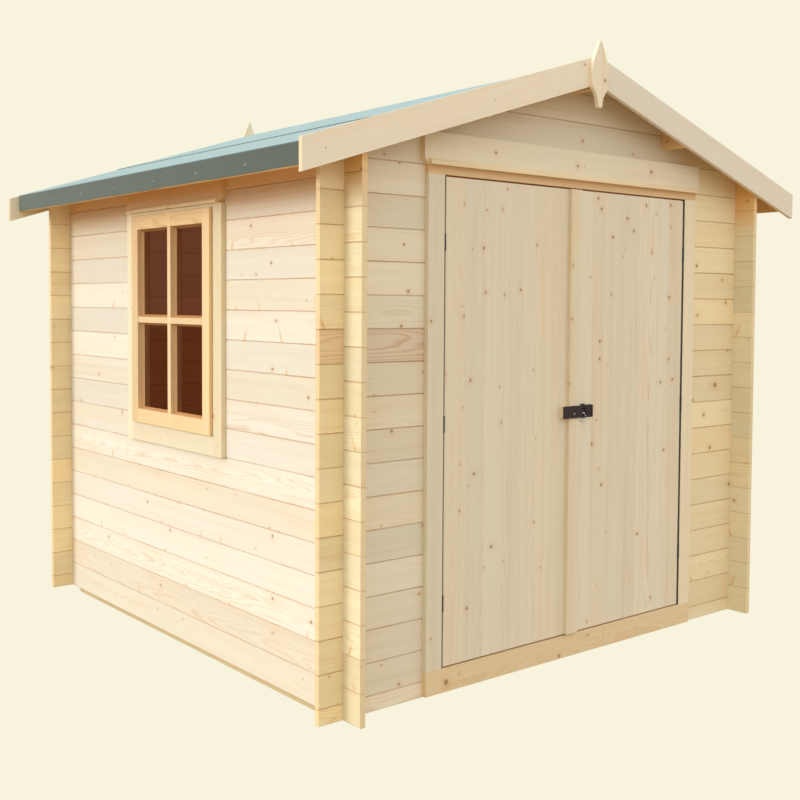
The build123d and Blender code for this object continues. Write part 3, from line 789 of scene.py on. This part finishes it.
def finish_doors():
    def striking(g):
        """The lower part of one board of the right leaf."""
        return g.ramp(g.x, 0.29, 0.295) * g.ramp(g.x, 0.390, 0.385) * g.ramp(g.z, 1.0, 0.6) * 0.5

    # Painted shade on the edges of the leaves, in the gaps at the jambs.
    def painted_leaf_edge_shade(g):
        return g.ramp(abs(g.x), 0.6715, 0.6735) * 0.9

    boards = wood("door_board_pine", leaf_board_grain, (234, 223, 199), 15, figure=0.36, knots=0.30,
                  uneven=0.60, joint=(244, 230, 202), seam=0.55, spread=0.06, landmarks=DOOR_KNOTS,
                  striking=striking, tints=[(painted_leaf_edge_shade, GAP_SHADE)])
    paint(boards, "left_door_boards", "right_door_boards")
    paint(wood("cover_strip_pine", long_grain("z", "x", "y"), (242, 230, 202), 16, knots=0.25),
          "meeting_strip", "hasp_block")
    paint(wood("ledge_pine", long_grain("x", "z", "y"), (236, 216, 176), 17),
          "left_door_ledges", "right_door_ledges")


def finish_roof():
    paint(wood("bargeboard_pine", sloped_grain, (238, 228, 208), 19, knots=0.12), "front_bargeboards")
    # Purlins and fascias are a more orange pine than the walls, partly their own colour and partly painted
    # shade under the roof.
    paint(wood("purlin_pine", long_grain("y", "z", "x"), (226, 190, 136), 21),
          "ridge_purlin", "side_purlins", "eave_fascias")
    felt = felt_material()
    paint(felt, "ridge_felt")
    eave_felt(felt)


def finish_base():
    paint(wood("joist_pine", long_grain("x", "y", "z"), (214, 186, 138), 24), "floor_joists")
    bearers(wood("treated_pine", long_grain("y", "x", "z"), (214, 196, 150), 23, late=(172, 150, 100)))


def finish_metal_and_glass():
    black = plain_material("black_enamel", (34, 24, 25), 0.34, speckle=500, wear=0.5)
    paint(black, "hasp_plate", "hasp_strap", "staple")
    staple_plate(black)
    paint(plain_material("hinge_zinc", (74, 76, 80), 0.5, metallic=0.6),
          "hinges_on_frame", "left_door_hinges", "right_door_hinges")
    ring_of_wire(plain_material("ring_zinc", (236, 238, 242), 0.25, metallic=0.35))
    paint(glass_material(), "window_glass")
    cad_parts["window_glass"].visible_shadow = False


def new_object(name, mesh, material):
    """An object in the scene from a bmesh."""
    data = bpy.data.meshes.new(name)
    mesh.to_mesh(data)
    mesh.free()
    data.materials.append(material)
    return linked(name, data)


def linked(name, data):
    made = bpy.data.objects.new(name, data)
    bpy.context.scene.collection.objects.link(made)
    return made


def piece(name, mesh, material, body, slot):
    """A new visible piece from a closed bmesh, riding on a CAD body."""
    bmesh.ops.recalc_face_normals(mesh, faces=mesh.faces)
    made = new_object(name, mesh, material)
    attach(made, body)
    return made


def loft(mesh, rings):
    """Faces between each ring of points and the next."""
    for near, far in zip(rings, rings[1:]):
        for i in range(len(near)):
            j = (i + 1) % len(near)
            mesh.faces.new((near[i], near[j], far[j], far[i]))


def prism(mesh, near, far):
    """Closed solid between two outlines with as many corners."""
    a = [mesh.verts.new(p) for p in near]
    b = [mesh.verts.new(p) for p in far]
    mesh.faces.new(reversed(a))
    mesh.faces.new(b)
    loft(mesh, [a, b])


def slab(mesh, outline, near, far):
    """Closed solid between two places in y, from an outline of x and z."""
    prism(mesh, [(x, near, z) for x, z in outline], [(x, far, z) for x, z in outline])


def soften(obj, width):
    """Rounds sharp edges a little, so that they catch the light."""
    bevel = obj.modifiers.new("soft_edges", "BEVEL")
    bevel.width = width
    bevel.segments = 2
    bevel.limit_method = "ANGLE"
    bevel.angle_limit = math.radians(40)


def roof_boarding(side, sign):
    """Boards from ridge to eave on one slope, with V joints that show from below."""
    mesh = bmesh.new()
    height = ROOF_OVER - ROOF_UNDER
    c = BOARD_CHAMFER
    for index in range(ROOF_BOARD_COUNT):
        first, last = index == 0, index == ROOF_BOARD_COUNT - 1
        y0 = -ROOF_HALF_LENGTH + index * ROOF_BOARD_PITCH + (0 if first else BOARD_GAP / 2)
        y1 = -ROOF_HALF_LENGTH + (index + 1) * ROOF_BOARD_PITCH - (0 if last else BOARD_GAP / 2)
        outline = [(y0, c), (y0 + c, 0), (y1 - c, 0), (y1, c), (y1, height), (y0, height)]
        ends = []
        for reach in (0.0, ROOF_HALF_SPAN):
            under = ROOF_UNDER - ROOF_SLOPE * reach
            ends.append([(sign * reach, y, under + z) for y, z in outline])
        prism(mesh, *ends)
    # The roof boards are a more orange pine than the walls, partly their own colour and partly painted shade
    # under the eaves.
    material = wood("roof_board_pine_" + side, roof_board_grain, (224, 190, 140), 27, figure=0.5)
    made = piece("roof_boarding_" + side, mesh, material, "cabin", "roof_timber")
    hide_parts("roof_boards_" + side)


def floor_boards():
    """Floor boards from front to back, with V joints on top."""
    mesh = bmesh.new()
    low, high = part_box("floor_deck")
    pitch = (high.x - low.x) / FLOOR_BOARD_COUNT
    c = BOARD_CHAMFER / 2
    for index in range(FLOOR_BOARD_COUNT):
        x0 = low.x + index * pitch + (BOARD_GAP if index else 0)
        x1 = low.x + (index + 1) * pitch
        outline = [(x0, low.z), (x1, low.z), (x1, high.z - c), (x1 - c, high.z), (x0 + c, high.z),
                   (x0, high.z - c)]
        slab(mesh, outline, low.y, high.y)
    material = wood("floor_board_pine", floor_board_grain, (222, 194, 148), 29, figure=0.5)
    made = piece("floor_boards", mesh, material, "cabin", "floor_timber")
    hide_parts("floor_deck")


def bearers(material):
    """Bearers on the ground. Their ends are set back and sloped, so that none shows beyond the walls."""
    mesh = bmesh.new()
    low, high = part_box("foundation_bearers")
    top = FRONT_FACE - BEARER_SET_BACK
    foot = top - BEARER_SLOPE
    outline = [(-foot, low.z), (foot, low.z), (top, high.z), (-top, high.z)]
    for x in BEARER_CENTRES:
        near = [(x - BEARER_WIDTH / 2, y, z) for y, z in outline]
        far = [(x + BEARER_WIDTH / 2, y, z) for y, z in outline]
        prism(mesh, near, far)
    made = piece("bearers", mesh, material, "cabin", "treated_timber")
    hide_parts("foundation_bearers")


def finials():
    """Kite-shaped finials over the mitres of the bargeboards."""
    mesh = bmesh.new()
    outline = [(FINIAL_X + x, z) for x, z in FINIAL_OUTLINE]
    outline += [(FINIAL_X - x, z) for x, z in reversed(FINIAL_OUTLINE)]
    for sign in (-1, 1):
        slab(mesh, outline, sign * BARGE_FACE, sign * (BARGE_FACE + FINIAL_THICKNESS))
    material = wood("finial_pine", long_grain("z", "x", "y"), (240, 226, 198), 20, knots=0.05,
                    landmarks=FINIAL_KNOTS)
    made = piece("kite_finials", mesh, material, "cabin", "gable_trim")
    soften(made, 0.0012)
    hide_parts("finials")


def back_bargeboards():
    """Bargeboards on the back gable, level with the felt."""
    mesh = bmesh.new()
    apex = BARGE_APEX - BARGE_BACK_DROP
    fall = ROOF_SLOPE * BARGE_REACH
    outline = [(BARGE_MITRE_GAP, apex - BARGE_HEIGHT), (BARGE_REACH, apex - BARGE_HEIGHT - fall),
               (BARGE_REACH, apex - fall), (BARGE_MITRE_GAP, apex)]
    for sign in (-1, 1):
        slab(mesh, [(sign * x, z) for x, z in outline], GABLE_FACE, BARGE_FACE)
    material = wood("back_bargeboard_pine", sloped_grain, (236, 224, 198), 31, figure=0.35, knots=0.15)
    made = piece("back_bargeboards_level", mesh, material, "cabin", "gable_trim")
    soften(made, 0.001)
    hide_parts("back_bargeboards")


def felt_wave(y, phase):
    """Slight waves of the felt's edge along the eave, between -1 and 1."""
    return math.sin(y * 9.0 + phase) * 0.5 + math.sin(y * 23.0 + 1.3) * 0.3 + math.sin(y * 41.0) * 0.2


def felt_profile(wave):
    """Outline of the felt across the eave: down the slope, round the bend and down to its foot, and back."""
    over = ROOF_OVER + FELT_THICKNESS
    foot = FELT_FOOT + (1 + wave) * FELT_WAVE
    corner = over - ROOF_SLOPE * FELT_EDGE
    bend_x, bend_z = FELT_EDGE - FELT_BEND, corner - FELT_BEND * 0.72
    steepest = math.atan(1 / ROOF_SLOPE)
    outer = [(FELT_LAP, over - ROOF_SLOPE * FELT_LAP)]
    for step in range(FELT_BEND_STEPS + 1):
        angle = steepest * (1 - step / FELT_BEND_STEPS)
        outer.append((bend_x + FELT_BEND * math.cos(angle), bend_z + FELT_BEND * math.sin(angle)))
    outer += [(FELT_EDGE - FELT_BULGE * (1 + wave), (corner + foot) / 2), (FELT_EDGE, foot)]
    inner = [(FELT_EDGE - FELT_THICKNESS, foot), (FELT_EDGE - FELT_THICKNESS, bend_z),
             (FELT_LAP, ROOF_OVER - ROOF_SLOPE * FELT_LAP)]
    return outer + inner


def eave_felt(material):
    """Lower felt: one sheet on each slope, bent over the eave with a round edge and slight waves."""
    mesh = bmesh.new()
    for sign in (-1, 1):
        rings = []
        for row in range(FELT_ROWS + 1):
            y = -ROOF_HALF_LENGTH + 2 * ROOF_HALF_LENGTH * row / FELT_ROWS
            rings.append([mesh.verts.new((sign * x, y, z)) for x, z in felt_profile(felt_wave(y, sign))])
        loft(mesh, rings)
        mesh.faces.new(rings[0])
        mesh.faces.new(reversed(rings[-1]))
    made = piece("eave_felt_bent", mesh, material, "cabin", "roof_felt")
    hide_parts("eave_felt")


def pane_spans(low, high):
    """Where the two panes lie between the outer edges of the sash, along one axis."""
    middle = (low + high) / 2
    return (low + SASH_STILE, middle - SASH_BAR / 2), (middle + SASH_BAR / 2, high - SASH_STILE)


def glazing_beads(material):
    """Sloped beads that hold the glass in each of the four panes."""
    mesh = bmesh.new()
    low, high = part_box("window_sash")
    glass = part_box("window_glass")[0].x
    profile = ((0.0, glass), (0.0, glass - BEAD_DEPTH), (BEAD_TOP, glass - BEAD_DEPTH), (BEAD_WIDTH, glass))
    for y0, y1 in pane_spans(low.y, high.y):
        for z0, z1 in pane_spans(low.z, high.z):
            rings = []
            for inset, x in profile:
                rings.append([mesh.verts.new((x, y, z)) for y, z in (
                    (y0 + inset, z0 + inset), (y1 - inset, z0 + inset),
                    (y1 - inset, z1 - inset), (y0 + inset, z1 - inset))])
            loft(mesh, rings + rings[:1])
    piece("glazing_beads", mesh, material, "cabin", "window_timber")


def staple_plate(material):
    """Wide plate that the staple stands on. It fills the view through the strap's slot."""
    mesh = bmesh.new()
    outline = []
    for quarter, (right, up) in enumerate(((1, 1), (0, 1), (0, -1), (1, -1))):
        x = STAPLE_PLATE_X[right] + STAPLE_PLATE_CORNER * (1 - 2 * right)
        z = HASP_HEIGHT + up * (STAPLE_PLATE_HALF - STAPLE_PLATE_CORNER)
        for step in range(CORNER_STEPS + 1):
            angle = math.pi / 2 * (quarter + step / CORNER_STEPS)
            out, rise = STAPLE_PLATE_CORNER * math.cos(angle), STAPLE_PLATE_CORNER * math.sin(angle)
            outline.append((x + out, z + rise))
    slab(mesh, outline, LEAF_FACE - STAPLE_PLATE_THICKNESS, LEAF_FACE)
    made = piece("staple_plate", mesh, material, "right_door", "black_metal")
    soften(made, 0.0005)


def wire_section(centre, turn, reach):
    """Points round the ring's wire at one turn."""
    out = Vector((math.cos(turn), 0, math.sin(turn)))
    points = []
    for side in range(RING_SIDES):
        angle = 2 * math.pi * side / RING_SIDES
        sideways = Vector((0, RING_WIRE * math.sin(angle), 0))
        points.append(centre + out * (reach + RING_WIRE * math.cos(angle)) + sideways)
    return points


def ring_of_wire(material):
    """Round wire ring on the staple."""
    mesh = bmesh.new()
    low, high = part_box("staple_ring")
    reach = (high.x - low.x) / 2 - RING_WIRE
    sections = []
    for step in range(RING_STEPS):
        points = wire_section((low + high) / 2, 2 * math.pi * step / RING_STEPS, reach)
        sections.append([mesh.verts.new(point) for point in points])
    loft(mesh, sections + sections[:1])
    for face in mesh.faces:
        face.smooth = True
    made = piece("wire_ring", mesh, material, "right_door", "ring_steel")
    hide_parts("staple_ring")


def drip_profile():
    """Outline of a rounded moulding: how far it stands out, and how high."""
    outline = [(0.0, DRIP_HEIGHT)]
    for step in range(1, DRIP_STEPS + 1):
        angle = step * math.pi / 2 / DRIP_STEPS
        rise = DRIP_FOOT + (DRIP_HEIGHT - DRIP_FOOT) * math.cos(angle)
        outline.append((DRIP_REACH * math.sin(angle), rise))
    return outline + [(DRIP_REACH, 0.0), (0.0, 0.0)]


def drip_mouldings():
    """Rounded mouldings along the lower edges of the boards over the doors and the window."""
    mesh = bmesh.new()
    near = [(-DOOR_DRIP_HALF, DOOR_HEADER_FACE - out, DOOR_HEADER_FOOT + up) for out, up in drip_profile()]
    prism(mesh, near, [(DOOR_DRIP_HALF, y, z) for _, y, z in near])
    near = [(WINDOW_HEADER_FACE - out, WINDOW_DRIP[0], WINDOW_HEADER_FOOT + up) for out, up in drip_profile()]
    prism(mesh, near, [(x, WINDOW_DRIP[1], z) for x, _, z in near])
    material = wood("drip_pine", header_grain, (240, 220, 180), 33, figure=0.3, knots=0.08)
    piece("drip_mouldings", mesh, material, "cabin", "door_trim")


def head_rings(radius, rise, cross):
    """Rings of points from the rim of a head to its middle, with or without a crossed recess."""
    def ring(r, z):
        angles = [corner * math.pi / (HEAD_CORNERS / 2) for corner in range(HEAD_CORNERS)]
        return [(r * math.cos(a), r * math.sin(a), z) for a in angles]
    if not cross:
        return [ring(radius, 0), ring(radius, rise * 0.6), ring(radius * 0.86, rise)]
    long, short = radius * 0.5, radius * 0.13
    arms = []
    for turn in range(4):
        cosine, sine = math.cos(turn * math.pi / 2), math.sin(turn * math.pi / 2)
        for x, y in ((long, -short), (long, short), (short, short)):
            arms.append((x * cosine - y * sine, x * sine + y * cosine))
    return [ring(radius, 0), ring(radius * 0.92, rise * 0.55), ring(radius * 0.62, rise),
            [(x, y, rise) for x, y in arms], [(x, y, rise * 0.2) for x, y in arms]]


def fixings(name, places, head, body, material, cross=False):
    """Nail or screw heads as one mesh. Each place is a point on the surface and the way it faces."""
    mesh = bmesh.new()
    chance = random.Random(name)
    for point, facing in places:
        turn = Vector(facing).to_track_quat("Z", "Y").to_matrix().to_4x4()
        spin = Matrix.Rotation(chance.uniform(0, math.pi / 2), 4, "Z")
        stand = Matrix.Translation(Vector(point)) @ turn @ spin
        rings = [[mesh.verts.new(stand @ Vector(p)) for p in ring] for ring in head_rings(*head, cross)]
        loft(mesh, rings)
        mesh.faces.new(rings[-1])
        mesh.faces.new(reversed(rings[0]))
    piece(name, mesh, material, body, "hinge_steel")


def felt_nails(nail):
    places = []
    for sign, facing in ((-1, TO_LEFT), (1, TO_RIGHT)):
        for index in range(FELT_NAIL_COUNT):
            y = FELT_NAIL_START + index * FELT_NAIL_PITCH
            places.append(((sign * FELT_EDGE, y, FELT_NAIL_Z), facing))
    fixings("eave_felt_nails", places, FELT_NAIL, "cabin", nail)


def bargeboard_nails(nail):
    places = []
    for sign in (-1, 1):
        for x in BARGE_NAIL_X:
            z = BARGE_APEX - ROOF_SLOPE * x - BARGE_NAIL_DROP
            places.append(((sign * x, -BARGE_FACE, z), TO_FRONT))
            places.append(((sign * x, BARGE_FACE, z - BARGE_BACK_DROP), TO_BACK))
    fixings("bargeboard_nails", places, BARGE_NAIL, "cabin", nail)


def trim_nails(nail):
    """Nails in the headers, the threshold, the sides of the window's frame and the jambs."""
    places = [((x, DOOR_HEADER_FACE, DOOR_HEADER_NAIL_Z), TO_FRONT) for x in DOOR_HEADER_NAIL_X]
    places += [((x, JAMB_FACE, THRESHOLD_NAIL_Z), TO_FRONT) for x in THRESHOLD_NAIL_X]
    places += [((WINDOW_HEADER_FACE, y, WINDOW_HEADER_NAIL_Z), TO_LEFT) for y in WINDOW_HEADER_NAIL_Y]
    places += [((WINDOW_TRIM_FACE, y, z), TO_LEFT) for y in WINDOW_SIDE_NAIL_Y for z in WINDOW_SIDE_NAIL_Z]
    places += [((sign * JAMB_NAIL_X, JAMB_FACE, z), TO_FRONT) for sign in (-1, 1) for z in JAMB_NAIL_Z]
    fixings("trim_nails", places, TRIM_NAIL, "cabin", nail)


def ledge_screws(side, sign, screw):
    """Two screws through each ledge into each board of one leaf."""
    places = []
    for z in LEDGE_HEIGHTS:
        for board in range(LEAF_BOARD_COUNT):
            x = sign * (LEAF_MEETING + (board + 0.5) * LEAF_BOARD)
            places += [((x, LEDGE_FACE, z + rise), TO_BACK) for rise in LEDGE_SCREW_RISE]
    fixings(side + "_ledge_screws", places, LEDGE_SCREW, side + "_door", screw, cross=True)


def all_fixings():
    nail = plain_material("galvanised_nail", (186, 190, 188), 0.42, metallic=0.85)
    screw = plain_material("screw_zinc", (206, 190, 142), 0.35, metallic=1.0)
    felt_nails(nail)
    bargeboard_nails(nail)
    trim_nails(nail)
    ledge_screws("left", -1, screw)
    ledge_screws("right", 1, screw)
    fixings("strap_rivet", [(RIVET_PLACE, TO_FRONT)], RIVET, "hasp", nail)


def stage_object(name, mesh):
    """An object of the stage, and the empty node tree of its material."""
    material = bpy.data.materials.new(name)
    material.use_nodes = True
    material.node_tree.nodes.clear()
    return new_object(name, mesh, material), material.node_tree


def glow(tree, kind, colour):
    """A node of some kind that sends out light of one colour."""
    node = tree.nodes.new(kind)
    node.inputs["Color"].default_value = (*colour, 1)
    return node


def seen_and_lit(tree, kind, seen, lit):
    """Output where the camera sees one node and all other rays meet the other."""
    output = tree.nodes.new(kind)
    path = tree.nodes.new("ShaderNodeLightPath")
    mixed = tree.nodes.new("ShaderNodeMixShader")
    tree.links.new(path.outputs["Is Camera Ray"], mixed.inputs[0])
    tree.links.new(lit.outputs[0], mixed.inputs[1])
    tree.links.new(seen.outputs[0], mixed.inputs[2])
    tree.links.new(mixed.outputs[0], output.inputs[0])


def stage_floor():
    """Plain pale floor. The camera sees the backdrop's colour, and the cabin gets a dimmer warm light."""
    mesh = bmesh.new()
    bmesh.ops.create_circle(mesh, cap_ends=True, segments=96, radius=FLOOR_RADIUS)
    floor, tree = stage_object("stage_floor", mesh)
    seen = glow(tree, "ShaderNodeEmission", linear(*BACKDROP))
    lit = glow(tree, "ShaderNodeEmission", FLOOR_LIGHT)
    seen_and_lit(tree, "ShaderNodeOutputMaterial", seen, lit)


def glossy_card():
    """A dark warm card that only reflections see, where the window looks past the back of the cabin."""
    mesh = bmesh.new()
    bmesh.ops.create_grid(mesh, x_segments=1, y_segments=1, size=CARD_SIZE)
    card, tree = stage_object("stage_card", mesh)
    away = Vector(CARD_AWAY)
    middle = Vector((-SIDE_FACE, WINDOW_Y, CARD_HEIGHT)) + away * CARD_DISTANCE
    card.matrix_world = Matrix.Translation(middle) @ away.to_track_quat("Z", "Y").to_matrix().to_4x4()
    card.visible_camera = card.visible_diffuse = card.visible_transmission = card.visible_shadow = False
    output = tree.nodes.new("ShaderNodeOutputMaterial")
    tree.links.new(glow(tree, "ShaderNodeEmission", CARD_LIGHT).outputs[0], output.inputs[0])


def room_glow():
    """Faint reddish light inside, as daylight has after many turns between pine walls."""
    light = bpy.data.lights.new("room", "POINT")
    light.energy = ROOM_STRENGTH
    light.color = ROOM_COLOUR
    light.shadow_soft_size = ROOM_SOFTNESS
    linked("room", light).location = ROOM_PLACE


def studio_world():
    """Cream backdrop for the camera, and a soft overhead dome for the light."""
    world = bpy.data.worlds.new("studio")
    bpy.context.scene.world = world
    world.use_nodes = True
    tree = world.node_tree
    tree.nodes.clear()
    dome = tree.nodes.new("ShaderNodeBackground")
    coordinates = tree.nodes.new("ShaderNodeTexCoord")
    parts = tree.nodes.new("ShaderNodeSeparateXYZ")
    ramp = tree.nodes.new("ShaderNodeValToRGB")
    ramp.color_ramp.elements[0].color = (*SKY_LOW, 1)
    ramp.color_ramp.elements[1].color = (*SKY_HIGH, 1)
    tree.links.new(coordinates.outputs["Generated"], parts.inputs[0])
    tree.links.new(parts.outputs["Z"], ramp.inputs[0])
    tree.links.new(ramp.outputs[0], dome.inputs["Color"])
    seen = glow(tree, "ShaderNodeBackground", linear(*BACKDROP))
    seen_and_lit(tree, "ShaderNodeOutputWorld", seen, dome)


def key_light():
    """Large soft light from the left and a little behind, so that the front stays in shade."""
    light = bpy.data.lights.new("key", "SUN")
    light.energy = KEY_STRENGTH
    light.angle = math.radians(KEY_SPREAD)
    light.color = KEY_COLOUR
    linked("key", light).rotation_euler = Vector(KEY_TOWARDS).to_track_quat("-Z", "Y").to_euler()


def camera():
    """Camera at the photograph's place, turned by yaw, pitch and roll."""
    yaw, pitch, roll = (math.radians(a) for a in (CAMERA_YAW, CAMERA_PITCH, CAMERA_ROLL))
    ahead = Vector((math.sin(yaw) * math.cos(pitch), math.cos(yaw) * math.cos(pitch), math.sin(pitch)))
    level = Vector((math.cos(yaw), -math.sin(yaw), 0))
    above = level.cross(ahead)
    right = math.cos(roll) * level + math.sin(roll) * above
    up = math.cos(roll) * above - math.sin(roll) * level
    data = bpy.data.cameras.new("camera")
    data.lens = CAMERA_LENS
    data.shift_x, data.shift_y = CAMERA_SHIFT
    made = linked("camera", data)
    turn = Matrix((right, up, -ahead)).transposed().to_4x4()
    made.matrix_world = Matrix.Translation(CAMERA_PLACE) @ turn
    bpy.context.scene.camera = made


def main():
    view = bpy.context.scene.view_settings
    view.view_transform = "Standard"
    view.look = "None"
    camera()
    studio_world()
    key_light()
    stage_floor()
    glossy_card()
    room_glow()
    finish_side_walls()
    finish_end_walls()
    finish_door_frame()
    finish_window_and_headers()
    finish_doors()
    finish_roof()
    finish_base()
    finish_metal_and_glass()
    roof_boarding("left", -1)
    roof_boarding("right", 1)
    floor_boards()
    finials()
    back_bargeboards()
    drip_mouldings()
    all_fixings()


main()
